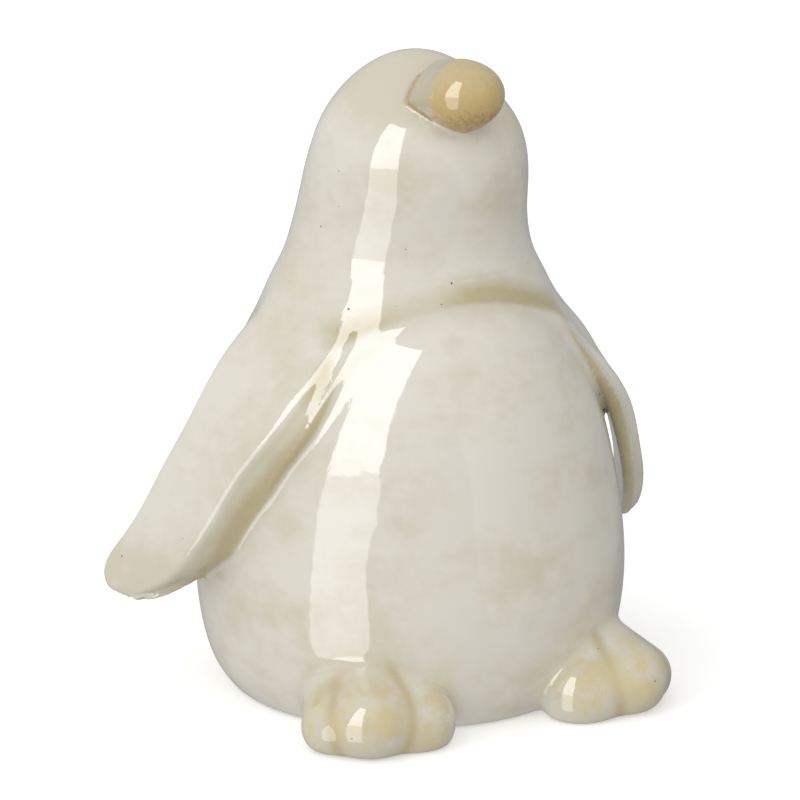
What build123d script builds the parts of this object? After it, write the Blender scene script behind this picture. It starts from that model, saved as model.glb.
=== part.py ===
from build123d import *
import math
import os

# Glazed stoneware penguin figurine, looking up, with its flippers held away from the belly.
# It stands on z = 0, faces -Y, and its own left side is +X. The origin is the middle of its footprint.
# Eight clay members are cast or pressed apart, luted together while damp and fired as one hollow piece.

os.makedirs("parts", exist_ok=True)

# Clay wall of both shells. A hollow has no level where its form is narrower than this many walls
wall = 4.5
hollow_end_share = 1.2
overrun = 20.0

# Belly: an egg that is flat where it stands
belly_height = 77.5
belly_half_width = 37.9
belly_half_depth = 37.7
belly_lean_length = 4.7
# How far the middle toes stand out ahead of the belly
toe_lead_length = 4.6
belly_y = toe_lead_length / 2
# Height, half width, half depth and lean of each level
belly_shares = [
    (0.00, 0.835, 0.80, -0.20),
    (0.05, 0.915, 0.88, -0.15),
    (0.10, 0.955, 0.935, -0.05),
    (0.17, 0.985, 0.975, 0.00),
    (0.28, 1.00, 1.00, 0.00),
    (0.38, 0.985, 0.985, -0.05),
    (0.50, 0.935, 0.955, -0.15),
    (0.60, 0.88, 0.91, -0.30),
    (0.70, 0.80, 0.85, -0.45),
    (0.80, 0.68, 0.76, -0.60),
    (0.87, 0.55, 0.665, -0.65),
    (0.92, 0.41, 0.55, -0.65),
    (0.965, 0.245, 0.355, -0.60),
    (1.00, 0.03, 0.04, -0.55),
]

# Head, neck and shoulders in one hood that lies over the top of the belly
head_rise = 35.0
shoulder_side_step = 4.3
shoulder_back_step = 9.2
head_lean_length = 3.1
crown_height = belly_height + head_rise
shoulder_half_width = belly_half_width - shoulder_side_step
shoulder_half_depth = belly_half_depth - shoulder_back_step
# Height, half width, half depth and lean of each level, from inside the belly up to the crown
hood_shares = [
    (0.37, 0.905, 1.095, 0.65),
    (0.41, 0.94, 1.075, 0.65),
    (0.44, 0.965, 1.05, 0.65),
    (0.48, 0.98, 1.015, 0.65),
    (0.52, 0.955, 0.975, 0.55),
    (0.55, 0.905, 0.94, 0.40),
    (0.60, 0.805, 0.88, 0.25),
    (0.64, 0.725, 0.825, 0.20),
    (0.68, 0.655, 0.77, 0.20),
    (0.72, 0.615, 0.725, 0.10),
    (0.76, 0.59, 0.70, -0.20),
    (0.79, 0.58, 0.69, -0.50),
    (0.83, 0.565, 0.68, -0.80),
    (0.86, 0.545, 0.655, -1.00),
    (0.90, 0.495, 0.60, -1.00),
    (0.935, 0.41, 0.495, -0.90),
    (0.965, 0.305, 0.37, -0.70),
    (0.985, 0.20, 0.24, -0.60),
    (0.996, 0.105, 0.125, -0.60),
    (1.00, 0.03, 0.035, -0.60),
]

# Flippers: thin blades that leave the shoulders and sweep down and back
wing_drop = 8.5
wing_spread = 14.1
wing_sweep = 14.6
blade_half_thickness = 1.9
wing_root_height = belly_height - wing_drop
wing_reach = belly_half_width + wing_spread
# Height, leading edge x and y, trailing edge x and y, half thickness and outward shift of each level
wing_shares = [
    (0.26, 0.955, 0.70, 0.965, 0.77, 0.35, 0.00),
    (0.27, 0.915, 0.47, 0.98, 0.89, 0.60, 0.00),
    (0.29, 0.88, 0.22, 0.995, 0.96, 0.75, 0.10),
    (0.34, 0.835, -0.18, 0.995, 0.98, 0.95, 0.10),
    (0.42, 0.79, -0.50, 0.96, 0.77, 1.00, 0.10),
    (0.55, 0.72, -0.80, 0.89, 0.48, 1.05, 0.10),
    (0.65, 0.665, -1.00, 0.835, 0.34, 1.20, 0.00),
    (0.75, 0.59, -1.23, 0.76, 0.26, 1.50, -0.35),
    (0.86, 0.485, -1.28, 0.66, 0.16, 2.10, -0.90),
    (0.92, 0.41, -1.27, 0.56, -0.22, 2.30, -1.15),
    (1.00, 0.29, -1.27, 0.34, -0.86, 2.00, -1.20),
]

# Feet: three blunt toes that fan out of a heel buried in the belly
heel_offset = 19.3
heel_radius = 8.7
heel_height = 7.6
toe_reach = 16.9
toe_radius = 7.0
middle_toe_angle = 20
toe_tip_y = belly_y - belly_half_depth - toe_lead_length
foot_y = toe_tip_y + toe_radius + toe_reach * math.cos(math.radians(middle_toe_angle))
# Fan angle in degrees, and the reach, radius and centre height of each toe
toe_shares = [
    (45, 0.87, 0.70, 0.56),
    (middle_toe_angle, 1.00, 1.00, 0.79),
    (-13, 0.85, 1.03, 0.56),
]

# Beak: a stubby bill, diamond-shaped where it leaves the head and round at its tip
beak_length = 16.8
beak_half_width = 9.0
beak_half_height = 7.4
beak_rise_angle = 19
# How deep the root lies in the head, and how high
beak_root_share = 0.29
beak_height_share = 0.935
beak_root_y = belly_y - head_lean_length - beak_root_share * shoulder_half_depth
beak_root_z = beak_height_share * crown_height
# Distance along the bill, size and roundness of each section
beak_shares = [
    (0.00, 1.00, 0.42),
    (0.28, 0.98, 0.48),
    (0.52, 0.95, 0.66),
    (0.70, 0.87, 0.86),
    (0.84, 0.70, 0.90),
    (0.94, 0.44, 0.90),
    (1.00, 0.10, 0.90),
]

# Base: the pour hole in the belly's floor is closed by a disc with a vent
floor_thickness = 5.0
pour_radius = 24.0
disc_thickness = 4.0
disc_recess = 0.8
vent_radius = 4.0


def belly_levels(inset=0, floor=0):
    """Belly ellipses, drawn in by a wall and standing on a floor: height, centre y and half axes."""
    return [
        (
            floor + (belly_height - inset - floor) * height_share,
            belly_y + belly_lean_length * lean_share,
            belly_half_width * width_share - inset,
            belly_half_depth * depth_share - inset,
        )
        for height_share, width_share, depth_share, lean_share in belly_shares
        if belly_half_width * width_share > inset * hollow_end_share
    ]


def hood_levels(inset=0):
    """Hood ellipses, drawn in by a wall: height, centre y and half axes."""
    return [
        (
            (crown_height - inset) * height_share,
            belly_y + head_lean_length * lean_share,
            shoulder_half_width * width_share - inset,
            shoulder_half_depth * depth_share - inset,
        )
        for height_share, width_share, depth_share, lean_share in hood_shares
        if shoulder_half_width * width_share > inset * hollow_end_share
    ]


def level_sketches(levels):
    """One ellipse sketch for each level, from the bottom up."""
    sketches = []
    for height, centre_y, half_width, half_depth in levels:
        with BuildSketch(Plane.XY.offset(height)) as level:
            with Locations((0, centre_y)):
                Ellipse(half_width, half_depth)
        sketches.append(level.sketch)
    return sketches


def wing_sketches():
    """One flat ellipse for each level of the left flipper, from its tip up to its root."""
    sketches = []
    for height_share, lead_x, lead_y, trail_x, trail_y, thickness_share, shift_share in wing_shares:
        lead = Vector(wing_reach * lead_x, belly_y + wing_sweep * lead_y)
        trail = Vector(wing_reach * trail_x, belly_y + wing_sweep * trail_y)
        chord = trail - lead
        outward = Vector(chord.Y, -chord.X).normalized() * blade_half_thickness * shift_share
        middle = (lead + trail) / 2 + outward
        chord_angle = math.degrees(math.atan2(chord.Y, chord.X))
        with BuildSketch(Plane.XY.offset(wing_root_height * height_share)) as level:
            with Locations((middle.X, middle.Y)):
                Ellipse(chord.length / 2, blade_half_thickness * thickness_share, rotation=chord_angle)
        sketches.append(level.sketch)
    return sketches


def beak_sketches():
    """Rounded diamonds along the bill, from inside the head out to the tip."""
    tilt = math.radians(beak_rise_angle)
    bill = Plane(
        origin=(0, beak_root_y, beak_root_z),
        x_dir=(1, 0, 0),
        z_dir=(0, -math.cos(tilt), math.sin(tilt)),
    )
    sketches = []
    for along_share, size_share, round_share in beak_shares:
        half_width = beak_half_width * size_share
        half_height = beak_half_height * size_share
        largest_round = half_width * half_height / math.hypot(half_width, half_height)
        with BuildSketch(bill.offset(beak_length * along_share)) as section:
            Polygon((half_width, 0), (0, half_height), (-half_width, 0), (0, -half_height))
            fillet(section.vertices(), round_share * largest_round)
        sketches.append(section.sketch)
    return sketches


# Solid forms of the belly and the hood, which shape the pieces that lie against them
with BuildPart() as belly_form:
    loft(level_sketches(belly_levels()))

with BuildPart() as hood_form:
    loft(level_sketches(hood_levels()))

with BuildPart() as hood_hollow:
    loft(level_sketches(hood_levels(wall)))

# Belly shell, open below at the pour hole and above into the hollow of the head
pour_y = belly_y + belly_lean_length * belly_shares[0][3]
with BuildPart() as belly_shell:
    add(belly_form.part)
    loft(level_sketches(belly_levels(wall, floor_thickness)), mode=Mode.SUBTRACT)
    add(hood_hollow.part, mode=Mode.SUBTRACT)
    with BuildSketch():
        with Locations((0, pour_y)):
            Circle(pour_radius)
    extrude(amount=floor_thickness + overrun, mode=Mode.SUBTRACT)

# Head shell: the hood, hollow, resting on the top of the belly
with BuildPart() as head_shell:
    add(hood_form.part)
    add(hood_hollow.part, mode=Mode.SUBTRACT)
    add(belly_form.part, mode=Mode.SUBTRACT)

# Flippers
with BuildPart() as left_wing:
    loft(wing_sketches())
    add(hood_form.part, mode=Mode.SUBTRACT)
    add(belly_form.part, mode=Mode.SUBTRACT)

with BuildPart() as right_wing:
    mirror(left_wing.part, about=Plane.YZ)

# Beak
with BuildPart() as beak:
    loft(beak_sketches())
    add(hood_form.part, mode=Mode.SUBTRACT)

# Feet
with BuildPart() as left_foot:
    heel = Vector(heel_offset, foot_y, heel_height)
    for fan_angle, reach_share, radius_share, height_share in toe_shares:
        reach = toe_reach * reach_share
        radius = toe_radius * radius_share
        fan = math.radians(fan_angle)
        rise = toe_radius * height_share - heel_height
        direction = Vector(reach * math.sin(fan), -reach * math.cos(fan), rise)
        length = direction.length
        taper = math.asin((heel_radius - radius) / length)
        toe_plane = Plane(origin=heel, x_dir=direction, z_dir=direction.cross(Vector(0, 0, 1)))
        with BuildSketch(toe_plane):
            with BuildLine():
                tip = CenterArc((length, 0), radius, 0, 90 - math.degrees(taper))
                Polyline(tip @ 1, (0, heel_radius / math.cos(taper)), (0, 0), tip @ 0)
            make_face()
        revolve(axis=Axis(heel, direction))
    add(belly_form.part, mode=Mode.SUBTRACT)
    split(bisect_by=Plane.XY)

with BuildPart() as right_foot:
    mirror(left_foot.part, about=Plane.YZ)

# Base disc, set into the pour hole a little above the foot ring
with BuildPart() as base_disc:
    with BuildSketch(Plane.XY.offset(disc_recess)):
        with Locations((0, pour_y)):
            Circle(pour_radius)
            Circle(vent_radius, mode=Mode.SUBTRACT)
    extrude(amount=disc_thickness)

pieces = {
    "belly_shell": belly_shell,
    "head_shell": head_shell,
    "left_wing": left_wing,
    "right_wing": right_wing,
    "beak": beak,
    "left_foot": left_foot,
    "right_foot": right_foot,
    "base_disc": base_disc,
}
for name, piece in pieces.items():
    piece.part.label = name
    export_step(piece.part, f"parts/{name}.step")
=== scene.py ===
"""Looks of a glazed stoneware penguin figurine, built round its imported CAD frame.

The figure is one smooth solid, worked out from the frame's boxes and divided into the members that it is
cast from: belly, hood, flippers, beak and feet. Each member is a closed shell of its own, and neighbours
share their seams, so the glaze runs over all of them unbroken.
"""

import logging
import math
from abc import ABC, abstractmethod
from dataclasses import dataclass, field
from enum import Enum

import bpy
import numpy as np
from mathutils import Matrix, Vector


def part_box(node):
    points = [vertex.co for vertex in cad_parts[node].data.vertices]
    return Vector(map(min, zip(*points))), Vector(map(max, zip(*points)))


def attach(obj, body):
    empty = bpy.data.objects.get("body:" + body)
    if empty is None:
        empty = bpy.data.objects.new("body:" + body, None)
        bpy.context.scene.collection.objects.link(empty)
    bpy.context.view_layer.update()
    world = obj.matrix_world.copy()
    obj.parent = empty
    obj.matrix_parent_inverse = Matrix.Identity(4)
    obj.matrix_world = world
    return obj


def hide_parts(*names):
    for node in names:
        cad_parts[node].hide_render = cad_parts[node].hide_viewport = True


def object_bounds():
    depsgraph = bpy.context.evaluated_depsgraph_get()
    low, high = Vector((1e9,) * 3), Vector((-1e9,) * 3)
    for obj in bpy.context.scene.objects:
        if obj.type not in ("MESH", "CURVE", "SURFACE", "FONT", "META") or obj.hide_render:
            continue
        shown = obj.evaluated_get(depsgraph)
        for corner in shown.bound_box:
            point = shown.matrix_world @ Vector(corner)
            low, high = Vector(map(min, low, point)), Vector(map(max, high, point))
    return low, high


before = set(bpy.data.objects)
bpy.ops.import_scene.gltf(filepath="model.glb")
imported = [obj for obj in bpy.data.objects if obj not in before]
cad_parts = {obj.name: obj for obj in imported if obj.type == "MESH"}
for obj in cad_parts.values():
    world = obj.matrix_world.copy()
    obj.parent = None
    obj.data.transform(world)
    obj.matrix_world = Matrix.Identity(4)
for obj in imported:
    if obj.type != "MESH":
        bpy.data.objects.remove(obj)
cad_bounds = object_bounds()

log = logging.getLogger("penguin")

Array = np.ndarray


class Side(Enum):
    """The penguin's own left and right, as the sign of x."""

    LEFT = 1
    RIGHT = -1


class Member(Enum):
    """The clay members that the glaze covers. Values are their labels in the grid; zero is air."""

    BELLY = 1
    HOOD = 2
    LEFT_WING = 3
    RIGHT_WING = 4
    BEAK = 5
    LEFT_FOOT = 6
    RIGHT_FOOT = 7


TORSO = (Member.HOOD, Member.LEFT_WING, Member.RIGHT_WING)


def smooth_min(one: Array, other: Array, blend: float | Array) -> Array:
    """Joins two distance fields with a fillet.

    Args:
        one: Distance to the first form.
        other: Distance to the second form.
        blend: Width of the zone in which the forms flow together.

    Returns:
        The distance to both forms as one.
    """
    near = np.maximum(blend - np.abs(one - other), 0) / blend
    return np.minimum(one, other) - near * near * near * blend / 6


def smooth_max(one: Array, other: Array, blend: float) -> Array:
    """Cuts one distance field by another, with a rounded edge as wide as blend."""
    return -smooth_min(-one, -other, blend)


def fade(value: Array, start: float, end: float) -> Array:
    """Runs smoothly from 0 at start to 1 at end."""
    share = np.clip((value - start) / (end - start), 0, 1)
    return share * share * (3 - 2 * share)


@dataclass(frozen=True)
class Curve:
    """A smooth curve of one size over height, near given knots.

    It keeps its values on an even row of stations and runs on straight beyond both ends.
    """

    low: float
    step: float
    values: Array

    @classmethod
    def near(cls, places: Array, values: Array, stiffness: float = 30.0, stations: int = 121) -> "Curve":
        """Fits the curve.

        Args:
            places: Height of each knot, from the lowest up.
            values: Size at each knot.
            stiffness: How strongly the curve resists bending.
            stations: Number of even stations that hold it.

        Returns:
            The fitted curve.
        """
        step = (places[-1] - places[0]) / (stations - 1)
        along = (np.asarray(places) - places[0]) / step
        below = np.minimum(along.astype(int), stations - 2)
        hat = np.zeros((len(places), stations))
        rows = np.arange(len(places))
        hat[rows, below] = 1 - (along - below)
        hat[rows, below + 1] = along - below
        bend = np.diff(np.eye(stations), 2, axis=0)
        left = hat.T @ hat + stiffness * bend.T @ bend
        return cls(places[0], step, np.linalg.solve(left, hat.T @ np.asarray(values)))

    def at(self, height: Array) -> Array:
        """Reads the curve, by a cubic through the four nearest stations.

        Args:
            height: Heights to read it at.

        Returns:
            Its value at each height.
        """
        last = len(self.values) - 1
        along = (height - self.low) / self.step
        inside = np.clip(along, 0, last)
        start = np.minimum(inside.astype(int), last - 1)
        part = inside - start
        before = self.values[np.maximum(start - 1, 0)]
        first = self.values[start]
        second = self.values[start + 1]
        after = self.values[np.minimum(start + 2, last)]
        swing = 3 * (first - second) + after - before
        turn = 2 * before - 5 * first + 4 * second - after
        value = first + part * (second - before + part * (turn + part * swing)) / 2
        slopes = np.where(along > last, self.values[-1] - self.values[-2], self.values[1] - self.values[0])
        return value + (along - inside) * slopes

    def slope(self, height: Array) -> Array:
        """How fast the value changes with height."""
        return (self.at(height + self.step) - self.at(height - self.step)) / (2 * self.step)


class Form(ABC):
    """A clay form, as a field of signed distances that are negative inside."""

    @abstractmethod
    def distance(self, x: Array, y: Array, z: Array) -> Array:
        """Distance from each point to the form's surface."""


@dataclass
class Egg(Form):
    """A stack of level ellipses: the belly, or the hood of head, neck and shoulders.

    Attributes:
        height: Height of the top.
        half_width: Half the width where it is widest.
        half_depth: Half the depth where it is deepest.
        centre: Where the widest level lies from front to back.
        lean: How far a level with a full share leans back.
        shares: Height, half width, half depth and lean of each level.
        core: Radius round the axis within which distances are only rough.
    """

    height: float
    half_width: float
    half_depth: float
    centre: float
    lean: float
    shares: list[tuple[float, float, float, float]]
    core: float = 0.006

    def __post_init__(self) -> None:
        """Draws the curves through the levels."""
        table = np.array(self.shares)
        places = table[:, 0] * self.height
        width = table[:, 1] * self.half_width
        depth = table[:, 2] * self.half_depth
        self.low = places[0]
        self.width_squared = Curve.near(places, width * width, 3.0)
        self.aspect = Curve.near(places, depth / width)
        self.middle = Curve.near(places, self.centre + table[:, 3] * self.lean)

    def distance(self, x: Array, y: Array, z: Array) -> Array:
        """Works out how far each point is from the stack of ellipses.

        Args:
            x: Points' x.
            y: Points' y.
            z: Points' z.

        Returns:
            The distances.
        """
        aspect = self.aspect.at(z)
        across = (y - self.middle.at(z)) / aspect
        value = x * x + across * across - self.width_squared.at(z)
        turn = self.middle.slope(z) / aspect + across * self.aspect.slope(z) / aspect
        rise = 2 * across * turn + self.width_squared.slope(z)
        steepness = np.sqrt(4 * x * x + (2 * across / aspect) ** 2 + rise * rise)
        return np.maximum(value / np.maximum(steepness, 2 * self.core), self.low - z)


def bar_distance(x: Array, y: Array, start: tuple, end: tuple, radii: tuple) -> Array:
    """Distance in the level plane to a bar with round ends of two sizes.

    Args:
        x: Points' x.
        y: Points' y.
        start: The bar's first end, x and y, each a number or an array over height.
        end: Its second end.
        radii: Its half thickness at both ends.

    Returns:
        The distance to the bar's outline.
    """
    run_x = end[0] - start[0]
    run_y = end[1] - start[1]
    length_squared = run_x * run_x + run_y * run_y + 1e-12
    share = np.clip(((x - start[0]) * run_x + (y - start[1]) * run_y) / length_squared, 0, 1)
    away = np.hypot(x - start[0] - share * run_x, y - start[1] - share * run_y)
    return away - radii[0] - share * (radii[1] - radii[0])


@dataclass
class Wing(Form):
    """A flipper: level sections with a round ridge near the leading edge, swept down and back.

    Attributes:
        side: Which flipper it is.
        reach: How far the tip stands out.
        sweep: How far forward a full share of y lies.
        root: Height of the root.
        centre: Where the belly's middle lies from front to back.
        webbed: Whether clay fills the slot between leading edge and belly.
        edge: Radius of the trailing edge.
        rim: Radius of the lower end.
        run: How far behind the leading edge a sharp ridge lies.
        run_gain: How much further back it lies for each millimetre of its radius.
        web_depth: How deep the web starts inside the belly.
        web_gain: How much deeper it starts low down, where the blade stands off.
        web_radius: Half its thickness there.
        web_sweep: How far its lower end meets the belly further back.
        web_rise: Heights between which the web's lower edge sweeps in.
        web_gain_heights: Heights, as negative numbers, between which web_gain comes in.
        web_sweep_heights: The same for web_sweep.
        radius_limit: Largest radius of the ridge, as a share of the section's length.
        run_limit: Largest run, as a share of the section's length.
        drop: Length of the flipper below its root, as a share of its usual length.
        joint: Fillet between both faces, inside.
        slant: What a level distance shrinks to, because the faces slope.
        shares: Height, leading edge x and y, and trailing edge x and y of each level.
        ridge_shares: Height, and the ridge's radius and how far it stands out of the line between both
            edges, in millimetres.
        edge_stiffness: How strongly the curves of both edges resist bending.
    """

    side: Side
    reach: float
    sweep: float
    root: float
    centre: float
    webbed: bool
    drop: float = 1.0
    edge: float = 0.0013
    rim: float = 0.0022
    run: float = 0.0044
    run_gain: float = 0.39
    web_depth: float = 0.0022
    web_gain: float = 0.0065
    web_radius: float = 0.0016
    web_sweep: float = 0.009
    web_rise: tuple[float, float] = (0.0185, 0.0250)
    joint: float = 0.001
    slant: float = 0.87
    shares: tuple[tuple[float, ...], ...] = (
        (0.26, 0.955, 0.70, 0.965, 0.77),
        (0.27, 0.915, 0.47, 0.98, 0.89),
        (0.29, 0.88, 0.22, 0.995, 0.96),
        (0.34, 0.835, -0.18, 0.995, 0.98),
        (0.42, 0.79, -0.50, 0.96, 0.77),
        (0.55, 0.72, -0.80, 0.89, 0.48),
        (0.65, 0.665, -1.00, 0.835, 0.34),
        (0.75, 0.59, -1.23, 0.765, 0.27),
        (0.86, 0.485, -1.27, 0.665, 0.27),
        (0.92, 0.415, -1.24, 0.575, 0.27),
        (1.00, 0.31, -1.13, 0.46, 0.10),
        (1.07, 0.17, -0.98, 0.36, -0.10),
    )
    ridge_shares: tuple[tuple[float, float, float], ...] = (
        (0.26, 1.8, 1.3),
        (0.29, 1.9, 1.8),
        (0.34, 1.9, 2.3),
        (0.42, 1.9, 2.8),
        (0.55, 1.9, 3.0),
        (0.65, 2.1, 2.9),
        (0.75, 2.8, 2.6),
        (0.86, 3.6, 1.8),
        (0.92, 3.8, 1.2),
        (1.00, 3.6, 0.5),
        (1.07, 2.6, -0.8),
    )
    web_gain_heights: tuple[float, float] = (-0.045, -0.026)
    web_sweep_heights: tuple[float, float] = (-0.030, -0.021)
    radius_limit: float = 0.45
    run_limit: float = 0.5
    edge_stiffness: float = 0.3

    def __post_init__(self) -> None:
        """Draws the curves of both edges and of the ridge."""
        table = np.array(self.shares)
        places = self.root * (1 - (1 - table[:, 0]) * self.drop)
        self.low = places[0]
        self.high = places[-1]
        reach = table * self.reach
        sweep = self.centre + table * self.sweep
        self.lead = [Curve.near(places, row, self.edge_stiffness) for row in (reach[:, 1], sweep[:, 2])]
        self.trail = [Curve.near(places, row, self.edge_stiffness) for row in (reach[:, 3], sweep[:, 4])]
        ridge = np.array(self.ridge_shares)
        self.radius = Curve.near(ridge[:, 0] * self.root, ridge[:, 1] / 1000)
        self.stand = Curve.near(ridge[:, 0] * self.root, ridge[:, 2] / 1000)

    def section(self, level: Array) -> tuple[tuple, tuple, tuple]:
        """Lays out the level section: leading edge, ridge and trailing edge.

        Args:
            level: Height of each section.

        Returns:
            Place and radius of the bar ends at the leading edge, the ridge and the trailing edge.
        """
        lead_x, lead_y = (curve.at(level) for curve in self.lead)
        trail_x, trail_y = (curve.at(level) for curve in self.trail)
        chord = np.hypot(trail_x - lead_x, trail_y - lead_y)
        along_x = (trail_x - lead_x) / chord
        along_y = (trail_y - lead_y) / chord
        radius = np.minimum(self.radius.at(level), chord * self.radius_limit)
        edge = np.minimum(self.edge, radius)
        run = np.minimum(self.run + (radius - self.edge) * self.run_gain, chord * self.run_limit)
        out = self.stand.at(level) - radius
        ridge = (lead_x + along_x * run + along_y * out, lead_y + along_y * run - along_x * out)
        back = (trail_x - along_x * edge, trail_y - along_y * edge)
        if self.webbed:
            wide = np.hypot(lead_x, lead_y - self.centre)
            depth = self.web_depth + fade(-level, *self.web_gain_heights) * self.web_gain
            share = fade(level, *self.web_rise)
            depth = share * (depth + self.web_radius) - self.web_radius
            back_by = share * fade(-level, *self.web_sweep_heights) * self.web_sweep
            start = (
                lead_x * (1 - depth / wide),
                lead_y - (lead_y - self.centre) * depth / wide + back_by,
            )
            return (start, self.web_radius), (ridge, radius), (back, edge)
        away = np.hypot(ridge[0] - lead_x, ridge[1] - lead_y)
        to_x = (ridge[0] - lead_x) / away
        to_y = (ridge[1] - lead_y) / away
        return ((lead_x + to_x * edge, lead_y + to_y * edge), edge), (ridge, radius), (back, edge)

    def distance(self, x: Array, y: Array, z: Array) -> Array:
        """Works out how far each point is from the flipper.

        Args:
            x: Points' x.
            y: Points' y.
            z: Points' z.

        Returns:
            The distances.
        """
        x = x * self.side.value
        level = np.clip(z, self.low, self.high)
        (start, thin), (ridge, radius), (back, edge) = self.section(level)
        bevel = bar_distance(x, y, start, ridge, (thin, radius))
        flat = smooth_min(bevel, bar_distance(x, y, ridge, back, (radius, edge)), self.joint)
        beyond = np.maximum(self.low - z, z - self.high)
        inside = flat * self.slant + self.rim
        under = beyond + self.rim
        corner = np.hypot(np.maximum(inside, 0), np.maximum(under, 0))
        return corner + np.minimum(np.maximum(inside, under), 0) - self.rim


@dataclass
class Foot(Form):
    """Three blunt toes that fan out of a heel in the belly.

    Attributes:
        side: Which foot it is.
        heel: Place of the heel's middle, for the left foot.
        heel_radius: Radius of the heel.
        reach: Length of the middle toe, from heel to tip centre.
        toe_radius: Radius of the middle toe.
        toe_shares: Fan angle in degrees, and the reach, radius and centre height of each toe.
        blend: Width of the fillets between the toes.
    """

    side: Side
    heel: tuple[float, float, float]
    heel_radius: float
    reach: float
    toe_radius: float
    toe_shares: tuple[tuple[float, float, float, float], ...] = (
        (45, 0.90, 0.76, 0.60),
        (20, 0.96, 0.98, 0.79),
        (-13, 0.86, 1.03, 0.57),
    )
    blend: float = 0.0060

    def toes(self) -> list[tuple[Array, float]]:
        """Places the tips of the toes.

        Returns:
            Centre and radius of each tip, for the left foot.
        """
        tips = []
        for fan, reach, radius, height in self.toe_shares:
            turn = math.radians(fan)
            run = self.reach * reach
            side = self.heel[0] + run * math.sin(turn)
            ahead = self.heel[1] - run * math.cos(turn)
            tips.append((np.array((side, ahead, self.toe_radius * height)), self.toe_radius * radius))
        return tips

    def distance(self, x: Array, y: Array, z: Array) -> Array:
        """Works out how far each point is from the foot.

        Args:
            x: Points' x.
            y: Points' y.
            z: Points' z.

        Returns:
            The distances.
        """
        whole = None
        for tip, radius in self.toes():
            run = tip - np.array(self.heel)
            length = float(np.linalg.norm(run))
            away = (x * self.side.value - self.heel[0], y - self.heel[1], z - self.heel[2])
            along = sum(step * part for step, part in zip(away, run)) / length
            aside = np.sqrt(np.maximum(sum(step * step for step in away) - along * along, 0))
            taper = (self.heel_radius - radius) / length
            cosine = math.sqrt(1 - taper * taper)
            share = np.clip((along - aside * taper / cosine) / length, 0, 1)
            radius_here = self.heel_radius + share * (radius - self.heel_radius)
            toe = np.hypot(along - share * length, aside) - radius_here
            whole = toe if whole is None else smooth_min(whole, toe, self.blend)
        return whole


@dataclass
class Beak(Form):
    """A stubby bill, a diamond with soft edges at its root and round at its tip.

    Attributes:
        root: Place of the root's middle inside the head, y and z.
        length: Length from the root to the tip.
        half_width: Half its width at the root.
        half_height: Half its height at the root.
        rise: Angle in degrees at which it points up.
        tip_share: Length of the round tip, as a share of the length.
        stations: Places along the bill, as shares of its length.
        size_shares: Size at each station, as a share of the root's.
        squareness: Power of the outline at each station: 1 is a diamond and 2 a circle.
        slant: What the distance across shrinks to, because the sides slope.
    """

    root: tuple[float, float]
    length: float
    half_width: float
    half_height: float
    rise: float
    tip_share: float = 0.46
    stations: tuple[float, ...] = (-0.3, 0.0, 0.3, 0.5, 0.8, 1.0)
    size_shares: tuple[float, ...] = (1.04, 1.00, 0.97, 0.94, 0.90, 0.84)
    squareness: tuple[float, ...] = (1.22, 1.22, 1.32, 1.55, 1.95, 2.1)
    slant: float = 0.85

    def local(self, y: Array, z: Array) -> tuple[Array, Array]:
        """Turns places into the bill's own directions.

        Args:
            y: Points' y.
            z: Points' z.

        Returns:
            The way along the bill, from its root, and the height above its middle line.
        """
        turn = math.radians(self.rise)
        ahead = self.root[0] - y
        above = z - self.root[1]
        along = ahead * math.cos(turn) + above * math.sin(turn)
        return along, above * math.cos(turn) - ahead * math.sin(turn)

    def distance(self, x: Array, y: Array, z: Array) -> Array:
        """Works out how far each point is from the bill.

        Args:
            x: Points' x.
            y: Points' y.
            z: Points' z.

        Returns:
            The distances.
        """
        along, above = self.local(y, z)
        share = along / self.length
        size = np.interp(share, self.stations, self.size_shares)
        power = np.interp(share, self.stations, self.squareness)
        wide = np.abs(x) / (self.half_width * size) + 1e-9
        high = np.abs(above) / (self.half_height * size) + 1e-9
        ring = (wide**power + high**power) ** (1 / power)
        cap = self.tip_share * self.length
        ring = np.hypot(ring, np.maximum(along - self.length + cap, 0) / cap)
        return np.maximum((ring - 1) * self.half_height * size * self.slant, -along)


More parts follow.
